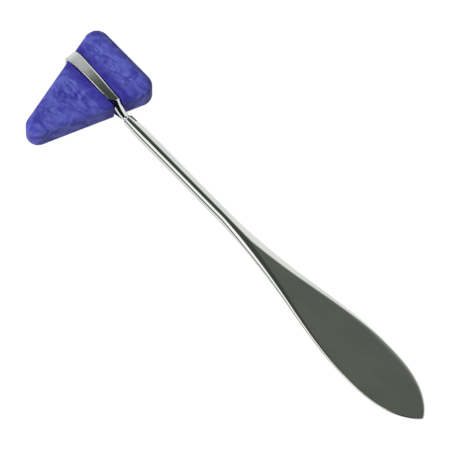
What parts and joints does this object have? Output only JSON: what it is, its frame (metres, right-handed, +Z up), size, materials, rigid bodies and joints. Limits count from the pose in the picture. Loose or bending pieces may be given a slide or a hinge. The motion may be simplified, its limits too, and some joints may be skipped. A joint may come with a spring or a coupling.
{
  "type": "reflex hammer",
  "caption": "Percussion hammer: triangular rubber head clasped by a flat steel strap loop on a round steel shank that flattens into a leaf-shaped blade handle.",
  "frame": {"origin": "on the table, under the middle of the hammer's outline as it lies on its back", "axes": "+X runs along the hammer from the head to the blade's tip, +Y from the head's point to its base, +Z up from the table; the shank dips 2.01 degrees below +X because the strap's back pad and the blade's tip both touch the table"},
  "size_m": [0.1928, 0.0468, 0.0141],
  "materials": {
    "head_rubber": "moulded, marbled blue-violet, satin",
    "strap_steel": "plated, satin-brushed outer face and bright edges",
    "handle_steel": "bright plated and polished"
  },
  "bodies": {
    "root": {"rubber_head": "head_rubber", "head_strap": "strap_steel", "handle": "handle_steel"}
  },
  "joints": []
}
